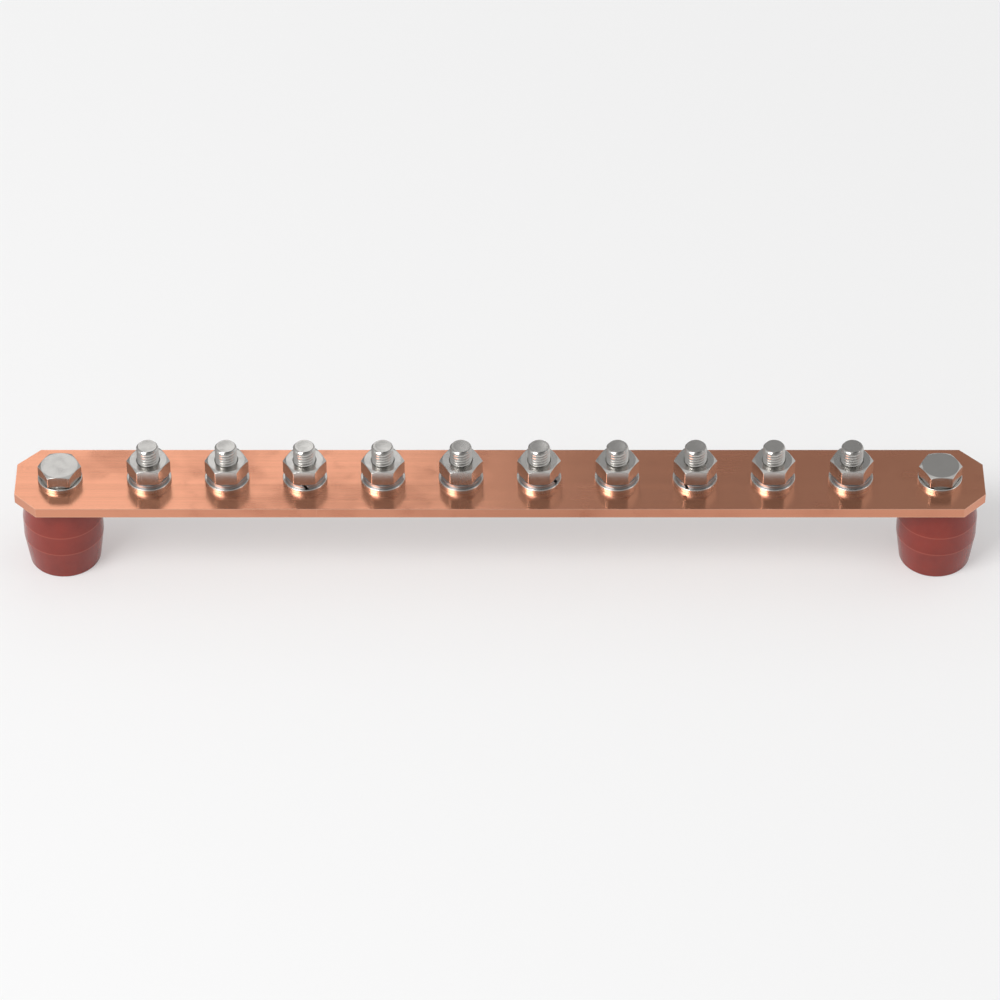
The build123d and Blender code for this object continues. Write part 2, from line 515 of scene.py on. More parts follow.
class RowOfPieces(ShapeTree):
    """Puts one numbered piece of a row in its place and gives it its material.

    The attribute local keeps where each point was on the loose piece, and the attribute lot
    is a random number of the piece's own, for finishes that differ a little along a row.
    """

    NAME = "Row of Pieces"
    INPUTS = {Socket.GEOMETRY: ["Geometry"], Socket.WHOLE: ["Count", "Number", "Seed"],
              Socket.NUMBER: ["Pitch", "Level", "Turn Step", "Crease"], Socket.SWITCH: ["Turned Over"],
              Socket.MATERIAL: ["Material"]}

    def write(self) -> tuple[Field, ...]:
        """Keep the attributes, smooth what isn't creased and place the piece.

        Returns:
            The placed piece.
        """
        number = self.take("Number")
        lot = self.get("FunctionNodeRandomValue", 1, {"ID": number, "Seed": self.take("Seed")},
                       data_type="FLOAT")
        loose = self.store(self.take("Geometry"), "local", self.position(), "FLOAT_VECTOR")
        loose = self.store(loose, "lot", lot, "FLOAT")
        bend = self.get("GeometryNodeInputMeshEdgeAngle", "Unsigned Angle")
        smooth = self.get("GeometryNodeSetShadeSmooth", 0, {
            "Geometry": loose, "Shade Smooth": True}, domain="FACE")
        smooth = self.get("GeometryNodeSetShadeSmooth", 0, {
            "Geometry": smooth, "Shade Smooth": self.take("Crease") > bend}, domain="EDGE")
        chosen = self.math("COMPARE", self.get("GeometryNodeInputIndex", 0), number, 0.5)
        turn = self.vector(self.take("Turned Over") * math.pi, 0.0, number * self.take("Turn Step"))
        placed = self.get("GeometryNodeInstanceOnPoints", 0, {
            "Points": self.spread(self.take("Count"), self.take("Pitch"), self.take("Level")),
            "Selection": chosen, "Instance": smooth,
            "Rotation": self.get("FunctionNodeEulerToRotation", 0, {0: turn})})
        real = self.get("GeometryNodeRealizeInstances", 0, {"Geometry": placed})
        inputs = {"Geometry": real, "Material": self.take("Material")}
        return (self.get("GeometryNodeSetMaterial", 0, inputs),)


@dataclass(frozen=True)
class Step:
    """One modifier that shapes a piece: a geometry tree, or one of Blender's own."""

    kind: str
    values: dict[str, object]
    tree: type[ShapeTree] | None = None

    def add_to(self, piece: bpy.types.Object) -> None:
        """Put the modifier on the piece and set it up, a tree's inputs by their identifiers.

        Args:
            piece: The piece.
        """
        modifier = piece.modifiers.new(self.kind, self.kind)
        if self.tree is None:
            for option, value in self.values.items():
                setattr(modifier, option, value)
            return
        modifier.node_group = self.tree.made()
        for item in modifier.node_group.interface.items_tree:
            if item.in_out == "INPUT" and item.name in self.values:
                modifier[item.identifier] = self.values[item.name]


EVEN_SHADING = Step("WEIGHTED_NORMAL", {"keep_sharp": True, "weight": 80})
LEAST_BEND = math.radians(30)


def edge_rounding(width: float, steps: int = 2) -> Step:
    """The small rounding that takes the sharpness off a piece's edges."""
    return Step("BEVEL", {"width": width, "segments": steps, "limit_method": "ANGLE",
                          "angle_limit": LEAST_BEND, "miter_outer": "MITER_ARC"})


@dataclass(frozen=True)
class Corner:
    """One corner of a turned profile.

    Its rounding is the radius of the arc that takes it off. A drop of 1 or -1 means that a
    chamfer rises or falls from there to the hexagon's corners. A gap marks both ends of a
    stretch that a thread fills in.
    """

    radius: float
    height: float
    rounding: float = 0.0
    hexagon: bool = False
    drop: int = 0
    gap: bool = False


class Profile:
    """The half section of a turned piece, run so that the faces it sweeps point outwards."""

    ARC_STEPS = 3

    def __init__(self) -> None:
        """Start an empty profile."""
        self.corners: list[Corner] = []

    def to(self, radius: float, height: float, rounding: float = 0.0, gap: bool = False) -> "Profile":
        """Go on to a point at a distance from the axis and give the profile."""
        self.corners.append(Corner(radius, height, rounding, gap=gap))
        return self

    def flats(self, height: float, drop: int = 0) -> "Profile":
        """Go on to a point of the hexagon's wall and give the profile."""
        self.corners.append(Corner(0.0, height, hexagon=True, drop=drop))
        return self

    def arc(self, index: int) -> list[Vector]:
        """Round off one corner.

        Args:
            index: The corner's place in the profile.

        Returns:
            The points of the arc, or the corner alone if it stays sharp.
        """
        before, corner, after = (
            Vector((self.corners[index + step].radius, self.corners[index + step].height))
            for step in (-1, 0, 1 - len(self.corners)))
        rounding = self.corners[index].rounding
        if not rounding:
            return [corner]
        back = (before - corner).normalized()
        on = (after - corner).normalized()
        half_angle = back.angle(on) / 2
        start, end = (corner + way * rounding / math.tan(half_angle) for way in (back, on))
        centre = corner + (back + on).normalized() * rounding / math.sin(half_angle)
        spokes = [(start - centre).slerp(end - centre, step / self.ARC_STEPS)
                  for step in range(self.ARC_STEPS + 1)]
        return [centre + spoke.normalized() * rounding for spoke in spokes]

    def mesh(self, name: str) -> bpy.types.Mesh:
        """Make the profile's points a mesh.

        Args:
            name: The mesh's name.

        Returns:
            The points, with X as the radius, Z as the height and the attribute form, which
            holds whether the point is on the hexagon, its drop and whether it ends a gap.
        """
        points = []
        forms = []
        for index, corner in enumerate(self.corners):
            for place in self.arc(index):
                points.append((place.x, 0.0, place.y))
                forms += [float(corner.hexagon), float(corner.drop), float(corner.gap)]
        mesh = bpy.data.meshes.new(name)
        mesh.from_pydata(points, [], [])
        mesh.attributes.new("form", "FLOAT_VECTOR", "POINT").data.foreach_set("vector", forms)
        return mesh


class LoosePiece:
    """A piece as it lies on the bench, before it goes to its place on the bar."""

    CREASE = math.radians(50)

    def profile(self) -> Profile:
        """The half section that the piece is turned from, empty if it isn't turned."""
        return Profile()

    def steps(self) -> list[Step]:
        """What shapes the piece, in order."""
        raise NotImplementedError


def middle_of(node: str) -> float:
    """Where a node of the frame has its middle along the bar."""
    low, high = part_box(node)
    return (low.x + high.x) / 2


def underside_of(node: str) -> float:
    """The level of a node's underside."""
    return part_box(node)[0].z


def size_of(node: str) -> Vector:
    """How long, wide and high a node is."""
    low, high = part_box(node)
    return high - low


@dataclass(frozen=True)
class Row:
    """Like pieces at an even pitch along the bar, each standing for one solid of the frame.

    Without a level of their own they stand on the solids' underside.
    """

    name: str
    node: str
    endings: tuple[str, ...]
    finish: "Finish"
    level: float | None = None
    turn_step: float = 0.0
    turned_over: bool = False
    seed: int = 7

    def build(self, loose: LoosePiece) -> None:
        """Make every piece of the row.

        Args:
            loose: The piece that they all are before they are placed.
        """
        count = len(self.endings)
        first, last = (self.node + self.endings[index] for index in (0, -1))
        values = {
            "Count": count, "Pitch": (middle_of(last) - middle_of(first)) / max(count - 1, 1),
            "Level": underside_of(first) if self.level is None else self.level,
            "Turn Step": self.turn_step, "Turned Over": self.turned_over,
            "Crease": loose.CREASE, "Seed": self.seed, "Material": self.finish.material}
        for number, ending in enumerate(self.endings):
            name = self.name + ending
            piece = bpy.data.objects.new(name, loose.profile().mesh(name))
            bpy.context.scene.collection.objects.link(piece)
            placing = RowOfPieces.step({**values, "Number": number})
            for step in [*loose.steps(), placing, EVEN_SHADING]:
                step.add_to(piece)
            self.make_plain(piece)
            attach(piece, BODY)
            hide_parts(self.node + ending)
            self.finish.slot
            log.info("%s: %d faces, for %s", name, len(piece.data.polygons), self.node + ending)

    def make_plain(self, piece: bpy.types.Object) -> None:
        """Make what the modifiers give the piece's own mesh and take them off.

        Args:
            piece: The piece.
        """
        graph = bpy.context.evaluated_depsgraph_get()
        evaluated = piece.evaluated_get(graph)
        mesh = bpy.data.meshes.new_from_object(evaluated, preserve_all_data_layers=True, depsgraph=graph)
        mesh.materials.clear()
        mesh.materials.append(self.finish.material)
        piece.modifiers.clear()
        piece.data = mesh


@dataclass(frozen=True)
class MetricThread:
    """A coarse M10 thread, rolled on the screws and tapped in the nuts and inserts."""

    segments: int = 60
    lead: float = 1.5 * MILLIMETRE
    crest_radius: float = 5.0 * MILLIMETRE
    root_radius: float = 4.19 * MILLIMETRE
    play: float = 0.03 * MILLIMETRE
    mouth_radius: float = 5.4 * MILLIMETRE

    @property
    def rolled_root(self) -> float:
        """The radius at the bottom of a screw's thread."""
        return self.root_radius - self.play

    @property
    def tapped_root(self) -> float:
        """The radius of the hole that a thread is tapped in."""
        return self.root_radius + self.play

    def cut(self, bottom: float, top: float, rings: tuple[float, float], phase: float = 0.0,
            inside: bool = False) -> Step:
        """Cut the thread between two rings.

        Args:
            bottom: The level where the thread starts.
            top: The level where it ends.
            rings: The radius of the ring at the bottom and of the one at the top.
            phase: How far the helix is shifted up.
            inside: True for a tapped thread, False for a rolled one.

        Returns:
            The step that adds the thread.
        """
        play = self.play if inside else -self.play
        return HelicalThread.step({
            "Segments": self.segments, "Inner Radius": self.root_radius + play, "Lead": self.lead,
            "Outer Radius": self.crest_radius + play, "Phase": phase, "Bottom": bottom, "Top": top,
            "Bottom Ring": rings[0], "Top Ring": rings[1], "Inside": inside})


@dataclass(frozen=True)
class HexagonForm:
    """The hexagon that heads, nuts and inserts share, with corners turned off by a flat cone."""

    across_flats: float
    chamfer_circle: float = 16.5 * MILLIMETRE
    chamfer_slope: float = math.tan(math.radians(25))

    @classmethod
    def like(cls, node: str) -> "HexagonForm":
        """The hexagon whose flats face along the Y axis on a node of the frame."""
        return cls(size_of(node).y)

    def turned(self, segments: int) -> Step:
        """The step that turns a profile with this hexagon."""
        return TurnedPiece.step({
            "Segments": segments, "Across Flats": self.across_flats,
            "Chamfer Circle": self.chamfer_circle, "Chamfer Slope": self.chamfer_slope})


@dataclass(frozen=True, kw_only=True)
class ThreadedPiece(LoosePiece):
    """A hexagonal piece with an M10 thread on it or in it."""

    CREASE = math.radians(24)

    hexagon: HexagonForm
    thread: MetricThread = MetricThread()
    edge: float = 0.14 * MILLIMETRE
    edge_steps: int = 4

    def blank(self) -> list[Step]:
        """Turn the blank and take off its edges."""
        return [self.hexagon.turned(self.thread.segments), edge_rounding(self.edge, self.edge_steps)]


@dataclass(frozen=True, kw_only=True)
class HexagonScrew(ThreadedPiece):
    """A fully threaded screw that stands on its head's seat, at zero, with its tip up."""

    length: float
    head_height: float
    collar_radius: float = 8.2 * MILLIMETRE
    collar_height: float = 0.5 * MILLIMETRE
    fillet: float = 0.3 * MILLIMETRE
    shank_radius: float = 4.9 * MILLIMETRE
    shank_length: float = 1.2 * MILLIMETRE
    thread_start: float = 1.9 * MILLIMETRE
    tip_rim: float = 3.0 * MILLIMETRE
    tip_dish: float = 0.25 * MILLIMETRE

    def profile(self) -> Profile:
        """Run from the head's top round the collar and up the shank to the tip.

        Returns:
            The profile, with a gap where the thread comes.
        """
        chamfer = self.hexagon.chamfer_circle / 2
        root = self.thread.rolled_root
        outline = Profile().to(0.0, -self.head_height).to(chamfer, -self.head_height)
        outline.flats(-self.head_height, drop=1).flats(-self.collar_height)
        outline.to(self.collar_radius, -self.collar_height).to(self.collar_radius, 0.0)
        outline.to(self.shank_radius, 0.0, self.fillet).to(self.shank_radius, self.shank_length)
        outline.to(root, self.thread_start, gap=True).to(root, self.length, gap=True)
        return outline.to(self.tip_rim, self.length).to(0.0, self.length - self.tip_dish)

    def steps(self) -> list[Step]:
        """Make the blank and roll its thread."""
        rings = (self.thread.rolled_root, self.thread.rolled_root)
        return [*self.blank(), self.thread.cut(self.thread_start, self.length, rings)]


@dataclass(frozen=True, kw_only=True)
class HexagonNut(ThreadedPiece):
    """A nut chamfered at both ends, from zero up, some way from the screw's seat."""

    height: float
    seat_distance: float

    def profile(self) -> Profile:
        """Run round the outside from the mouth below to the mouth above.

        Returns:
            The profile, open where the thread comes.
        """
        chamfer = self.hexagon.chamfer_circle / 2
        mouth = self.thread.mouth_radius
        outline = Profile().to(mouth, 0.0).to(chamfer, 0.0).flats(0.0, drop=1)
        return outline.flats(self.height, drop=-1).to(chamfer, self.height).to(mouth, self.height)

    def steps(self) -> list[Step]:
        """Make the blank and tap its thread in step with the screw's."""
        rings = (self.thread.mouth_radius, self.thread.mouth_radius)
        return [*self.blank(), self.thread.cut(0.0, self.height, rings, -self.seat_distance, inside=True)]


@dataclass(frozen=True)
class PlainWasher(LoosePiece):
    """A stamped washer, from zero up, with its rolled edge on top."""

    outer_radius: float
    thickness: float
    bore_radius: float = 5.25 * MILLIMETRE
    burr_edge: float = 0.1 * MILLIMETRE
    rolled_edge: float = 0.35 * MILLIMETRE
    segments: int = 96

    @classmethod
    def like(cls, node: str) -> "PlainWasher":
        """The washer of a node of the frame."""
        size = size_of(node)
        return cls(size.x / 2, size.z)

    def profile(self) -> Profile:
        """Run all the way round the section from the middle of its underside.

        Returns:
            The profile.
        """
        middle = (self.bore_radius + self.outer_radius) / 2
        outline = Profile().to(middle, 0.0).to(self.outer_radius, 0.0, self.burr_edge)
        outline.to(self.outer_radius, self.thickness, self.rolled_edge)
        outline.to(self.bore_radius, self.thickness, self.rolled_edge)
        return outline.to(self.bore_radius, 0.0, self.burr_edge).to(middle, 0.0)

    def steps(self) -> list[Step]:
        """Turn the profile."""
        return [TurnedPiece.step({"Segments": self.segments})]


@dataclass(frozen=True)
class LockWasher(LoosePiece):
    """A split spring washer pressed flat, from zero up."""

    outer_radius: float
    thickness: float
    bore_radius: float = 5.1 * MILLIMETRE
    split_width: float = 1.3 * MILLIMETRE
    split_slant: float = math.radians(30)
    edge: float = 0.2 * MILLIMETRE
    segments: int = 72

    def steps(self) -> list[Step]:
        """Bend the wire and take off its edges.

        Returns:
            The steps in order.
        """
        return [SplitWasher.step({
            "Segments": self.segments, "Bore Radius": self.bore_radius,
            "Outer Radius": self.outer_radius, "Thickness": self.thickness,
            "Split Width": self.split_width / math.cos(self.split_slant),
            "Split Slope": math.tan(self.split_slant)}), edge_rounding(self.edge)]


@dataclass(frozen=True, kw_only=True)
class Insert(ThreadedPiece):
    """A tapped insert, from its face at zero up: a hexagon with an anchor groove."""

    length: float
    seat_distance: float
    groove_width: float = 4.0 * MILLIMETRE
    groove_depth: float = 1.5 * MILLIMETRE
    thread_depth: float = 11.5 * MILLIMETRE
    drill_slope: float = math.tan(math.radians(31))
    edge: float = 0.12 * MILLIMETRE

    @property
    def groove_levels(self) -> tuple[float, float]:
        """Where the anchor groove starts and ends."""
        start = (self.length - self.groove_width) / 2
        return start, start + self.groove_width

    @property
    def groove_radius(self) -> float:
        """The radius at the bottom of the anchor groove."""
        return self.hexagon.across_flats / 2 - self.groove_depth

    def profile(self) -> Profile:
        """Run from the drill point down the hole and up the outside round the groove.

        Returns:
            The profile, with a gap where the thread comes.
        """
        start, end = self.groove_levels
        root = self.thread.tapped_root
        outline = Profile().to(0.0, self.thread_depth + root * self.drill_slope)
        outline.to(root, self.thread_depth, gap=True).to(self.thread.mouth_radius, 0.0, gap=True)
        outline.flats(0.0).flats(start).to(self.groove_radius, start).to(self.groove_radius, end)
        return outline.flats(end).flats(self.length).to(0.0, self.length)

    def steps(self) -> list[Step]:
        """Make the blank and tap its thread, which runs out at the drill point."""
        rings = (self.thread.mouth_radius, self.thread.tapped_root)
        return [*self.blank(), self.thread.cut(
            0.0, self.thread_depth, rings, -self.seat_distance, inside=True)]


@dataclass(frozen=True)
class Post(LoosePiece):
    """A moulded post insulator: two cones and a band, closed round an insert at each end."""

    height: float
    band_radius: float
    insert: Insert
    end_radius: float = 16.0 * MILLIMETRE
    band_height: float = 10.0 * MILLIMETRE
    end_rounding: float = 0.6 * MILLIMETRE
    band_rounding: float = 0.5 * MILLIMETRE
    segments: int = 96

    def profile(self) -> Profile:
        """Run round the lower pocket, up the outside and round the upper pocket.

        Returns:
            The profile.
        """
        near, far = self.insert.groove_levels
        ring = self.insert.groove_radius
        length = self.insert.length
        top = self.height
        low = (top - self.band_height) / 2
        outline = Profile().to(0.0, length).flats(length).flats(far).to(ring, far).to(ring, near)
        outline.flats(near).flats(0.0).to(self.end_radius, 0.0, self.end_rounding)
        outline.to(self.band_radius, low, self.band_rounding)
        outline.to(self.band_radius, top - low, self.band_rounding)
        outline.to(self.end_radius, top, self.end_rounding).flats(top).flats(top - near)
        outline.to(ring, top - near).to(ring, top - far).flats(top - far).flats(top - length)
        return outline.to(0.0, top - length)

    def steps(self) -> list[Step]:
        """Turn the profile with pockets that fit the inserts."""
        return [self.insert.hexagon.turned(self.segments)]


@dataclass(frozen=True)
class Busbar(LoosePiece):
    """The flat copper bar."""

    corner_cut: float = 10.0 * MILLIMETRE
    terminals: int = TERMINALS
    hole_radius: float = 5.5 * MILLIMETRE
    slot_travel: float = 4.0 * MILLIMETRE
    arc_points: int = 64
    edge: float = 0.4 * MILLIMETRE

    def steps(self) -> list[Step]:
        """Cut the bar out round its holes and slots and take off its edges.

        Returns:
            The steps in order.
        """
        size = size_of("copper_bar")
        first, last = middle_of("hex_screw_01"), middle_of(f"hex_screw_{self.terminals:02d}")
        return [PunchedBar.step({
            "Length": size.x, "Width": size.y, "Thickness": size.z, "Corner Cut": self.corner_cut,
            "Holes": self.terminals, "Hole Pitch": (last - first) / (self.terminals - 1),
            "Hole Radius": self.hole_radius, "Slot Offset": middle_of("fixing_screw_right"),
            "Slot Travel": self.slot_travel, "Arc Points": self.arc_points}), edge_rounding(self.edge)]

    def build(self) -> None:
        """Make the bar in its place."""
        Row("busbar", "copper_bar", ("",), Finish.COPPER).build(self)


@dataclass(frozen=True)
class TerminalRow:
    """The row of screw terminals: screw, plain washer, lock washer and nut."""

    count: int = TERMINALS
    split_turn: float = math.radians(137.5)

    def build(self) -> None:
        """Make every piece of every terminal."""
        ends = tuple(f"_{number:02d}" for number in range(1, self.count + 1))
        seat = underside_of("copper_bar")
        low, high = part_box("hex_screw_01")
        hexagon = HexagonForm.like("hex_nut_01")
        nut = HexagonNut(hexagon=hexagon, height=size_of("hex_nut_01").z,
                         seat_distance=underside_of("hex_nut_01") - seat)
        spring = size_of("spring_washer_01")
        Row("terminal_screw", "hex_screw", ends, Finish.TURNED_STEEL, seat).build(
            HexagonScrew(hexagon=hexagon, length=high.z - seat, head_height=seat - low.z))
        Row("terminal_nut", "hex_nut", ends, Finish.TURNED_STEEL).build(nut)
        Row("plain_washer", "flat_washer", ends, Finish.STAMPED_STEEL).build(
            PlainWasher.like("flat_washer_01"))
        Row("lock_washer", "spring_washer", ends, Finish.SPRING_STEEL, turn_step=self.split_turn).build(
            LockWasher(spring.y / 2, spring.z))


@dataclass(frozen=True)
class Supports:
    """The two moulded posts, their inserts and the screws that hold the bar to them."""

    endings: tuple[str, str] = ("_left", "_right")

    def build(self) -> None:
        """Make both posts with everything in and on them."""
        ends = self.endings
        bar_end = underside_of("copper_bar")
        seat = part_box("fixing_washer_left")[1].z
        low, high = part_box("fixing_screw_left")
        insert = Insert(hexagon=HexagonForm.like("foot_insert_left"),
                        length=size_of("foot_insert_left").z, seat_distance=seat - bar_end)
        post = size_of("insulator_left")
        screw = HexagonScrew(hexagon=HexagonForm.like("fixing_screw_left"), length=seat - low.z,
                             head_height=high.z - seat)
        Row("foot_socket", "foot_insert", ends, Finish.BRASS).build(insert)
        Row("bar_socket", "top_insert", ends, Finish.BRASS, bar_end, turned_over=True).build(insert)
        Row("post", "insulator", ends, Finish.POLYESTER).build(Post(post.z, post.x / 2, insert))
        Row("end_screw", "fixing_screw", ends, Finish.TURNED_STEEL, seat, turned_over=True).build(screw)
        Row("end_washer", "fixing_washer", ends, Finish.STAMPED_STEEL).build(
            PlainWasher.like("fixing_washer_left"))


class Effect(NodeGroup):
    """A shader group that more than one finish uses."""

    KIND = "ShaderNodeTree"
    OUTPUTS = {Socket.NUMBER: ["Mask"]}


class StretchedMarks(Effect):
    """Soft marks of any length, width and height, from round patches to hairlines."""

    NAME = "Stretched Marks"
    INPUTS = {Socket.VECTOR: ["Vector", "Size"], Socket.NUMBER: ["Turn", "Low", "High"]}
    DETAIL = 3.0

    def write(self) -> tuple[Field, ...]:
        """Stretch smooth noise and keep what lies above a limit.

        Returns:
            The mask of the marks.
        """
        turned = self.get("ShaderNodeVectorRotate", 0, {
            "Vector": self.take("Vector"), "Angle": self.take("Turn")}, rotation_type="Z_AXIS")
        place = self.get("ShaderNodeVectorMath", 0, {0: turned, 1: self.take("Size")}, operation="DIVIDE")
        return (self.ramp(self.noise(place, self.DETAIL), self.take("Low"), self.take("High")),)


class EdgeWear(Effect):
    """Edges, where handling keeps a metal bright; the polyester uses it for a painted highlight on its
    edges.
    """

    NAME = "Edge Wear and Highlight"
    INPUTS = {Socket.NUMBER: ["Radius", "Gain"]}
    BEVEL_SAMPLES = 4

    def write(self) -> tuple[Field, ...]:
        """Compare the surface's normal with one that is rounded over the edges.

        Returns:
            The mask of the edges.
        """
        rounded = self.get("ShaderNodeBevel", 0, {"Radius": self.take("Radius")},
                           samples=self.BEVEL_SAMPLES)
        normal = self.get("ShaderNodeNewGeometry", "Normal")
        likeness = self.get("ShaderNodeVectorMath", "Value", {0: rounded, 1: normal},
                            operation="DOT_PRODUCT")
        return (self.within((1 - likeness) * self.take("Gain"), 0.0, 1.0),)


class TurningMarks(Effect):
    """The fine rings that a turning tool leaves round Z."""

    NAME = "Turning Marks"
    INPUTS = {Socket.VECTOR: ["Vector"], Socket.NUMBER: ["Spacing"]}
    DETAIL = 2.0

    def write(self) -> tuple[Field, ...]:
        """Let noise change with the radius alone.

        Returns:
            The height of the rings.
        """
        rings = self.radius(self.take("Vector")) / self.take("Spacing")
        return (self.noise(self.vector(rings, 0.0, 0.0), self.DETAIL),)


class Facing(Effect):
    """Which way a face looks: Flat along Z, as an end face, or Cut along X, as the bar's ends."""

    NAME = "Facing"
    OUTPUTS = {Socket.NUMBER: ["Flat", "Cut"]}
    FLAT_LIMITS = (0.7, 0.9)
    CUT_LIMITS = (0.3, 0.5)

    def write(self) -> tuple[Field, ...]:
        """Look at the normal's own parts.

        Returns:
            Both masks.
        """
        x, _, z = self.parts(self.get("ShaderNodeNewGeometry", "Normal"))
        return (self.ramp(self.math("ABSOLUTE", z), *self.FLAT_LIMITS),
                self.ramp(self.math("ABSOLUTE", x), *self.CUT_LIMITS))


@dataclass(frozen=True)
class Mark:
    """One kind of mark: its size, how much of the face it takes and what it does there."""

    size: tuple[float, float, float]
    limits: tuple[float, float]
    shade: float = 0.0
    dulling: float = 0.0
    turn: float = 0.0

    @classmethod
    def round(cls, millimetres: float, low: float, high: float, shade: float, dulling: float) -> "Mark":
        """A mark as long as it is wide."""
        return cls((millimetres * MILLIMETRE,) * 3, (low, high), shade, dulling)

    @classmethod
    def long(cls, length: float, width: float, low: float, high: float, shade: float,
             dulling: float) -> "Mark":
        """A mark drawn out along X, with its length and width in millimetres."""
        across = width * MILLIMETRE
        return cls((length * MILLIMETRE, across, across), (low, high), shade, dulling)


class Coating(Graph):
    """A material that is being written: a graph with one surface shader."""

    def __init__(self, name: str) -> None:
        """Start a material.

        Args:
            name: The material's name.
        """
        self.material = bpy.data.materials.new(name)
        self.material.use_nodes = True
        super().__init__(self.material.node_tree)
        self.shader = self.tree.nodes["Principled BSDF"]

    def effect(self, group: type[Effect], output: str = "Mask", **inputs: Value) -> Field:
        """Place a shared group with its own values."""
        return self.get("ShaderNodeGroup", output, inputs, node_tree=group.made())

    def attribute(self, name: str, output: str) -> Field:
        """What the piece's points keep under a name."""
        return self.get("ShaderNodeAttribute", output, attribute_name=name)

    def marks(self, place: Field, mark: Mark) -> Field:
        """Where one kind of mark lies."""
        return self.effect(StretchedMarks, Vector=place, Size=mark.size, Turn=mark.turn,
                           Low=mark.limits[0], High=mark.limits[1])

    def worn(self, place: Field, kinds: list[Mark]) -> tuple[Field, Field]:
        """Add up what several kinds of mark do.

        Args:
            place: Where the point lies.
            kinds: The kinds of mark.

        Returns:
            How far the colour is shaded and how far the gloss is dulled.
        """
        shade = 0.0
        dulling = 0.0
        for mark in kinds:
            mask = self.marks(place, mark)
            shade = shade + mask * mark.shade
            dulling = dulling + mask * mark.dulling
        return shade, dulling

    def bump(self, height: Field, depth: float) -> Field:
        """A normal bent by a height from 0 to 1 that stands for a real depth."""
        return self.get("ShaderNodeBump", 0, {"Strength": 1.0, "Distance": depth, "Height": height})

    def finish(self, values: dict[str, Value]) -> bpy.types.Material:
        """Feed the surface shader.

        Args:
            values: A value for each of the shader's sockets that matter here.

        Returns:
            The finished material.
        """
        for name, value in values.items():
            self.feed(self.shader.inputs[name], value)
        return self.material


@dataclass(frozen=True)
class CopperFinish:
    """Bare rolled copper with faint streaks along the bar, a light uneven tarnish and painted shade on its
    sides.
    """

    name: str = "bare_rolled_copper"
    clean: Colour = (0.80, 0.365, 0.230, 1.0)
    tarnish: Colour = (0.40, 0.135, 0.080, 1.0)
    bright: Colour = (0.93, 0.60, 0.45, 1.0)
    roughness: tuple[float, float] = (0.14, 0.40)
    patches: Mark = Mark.round(45, 0.42, 0.72, shade=0.26, dulling=0.35)
    stains: Mark = Mark.round(11, 0.55, 0.75, shade=0.12, dulling=0.10)
    streaks: Mark = Mark.long(1600, 7, 0.35, 0.65, shade=0.02, dulling=0.15)
    lines: Mark = Mark.long(260, 0.4, 0.40, 0.66, shade=0.03, dulling=0.12)
    drawing: Mark = Mark.long(150, 0.25, 0.0, 1.0, shade=0.0, dulling=0.20)
    sawing: Mark = Mark((0.5 * MILLIMETRE, 0.5 * MILLIMETRE, 20 * MILLIMETRE), (0.0, 1.0))
    scratches: Mark = Mark((30 * MILLIMETRE, 0.5 * MILLIMETRE, 30 * MILLIMETRE), (0.73, 0.77), turn=0.35)
    scratch_brightness: float = 0.25
    edge_radius: float = 0.7 * MILLIMETRE
    edge_gain: float = 6.0
    edge_brightness: float = 0.7
    # Painted shade on the bar's sides, which would look pale from the lit floor that they face
    side_shade: float = 0.22
    relief: float = 0.003 * MILLIMETRE

    def material(self) -> bpy.types.Material:
        """Write the material.

        Returns:
            The material.
        """
        coat = Coating(self.name)
        place = coat.get("ShaderNodeTexCoord", "Object")
        darkening, dull = coat.worn(place, [self.patches, self.stains, self.streaks, self.lines, self.drawing])
        edges = coat.effect(EdgeWear, Radius=self.edge_radius, Gain=self.edge_gain)
        rubbed = edges * self.edge_brightness
        rubbed = rubbed + coat.marks(place, self.scratches) * self.scratch_brightness
        # Painted shade: faces that don't look along Z are darkened by their facing alone, against the lit
        # floor that they reflect
        darkening = darkening + (1 - coat.effect(Facing, "Flat")) * self.side_shade
        colour = coat.blend(darkening, self.clean, self.tarnish)
        colour = coat.blend(rubbed, colour, self.bright)
        height = coat.between(coat.effect(Facing, "Cut"), coat.marks(place, self.drawing),
                              coat.marks(place, self.sawing))
        return coat.finish({
            "Base Color": colour, "Metallic": 1.0,
            "Roughness": coat.between(coat.least(dull, 1.0), *self.roughness),
            "Normal": coat.bump(height, self.relief)})


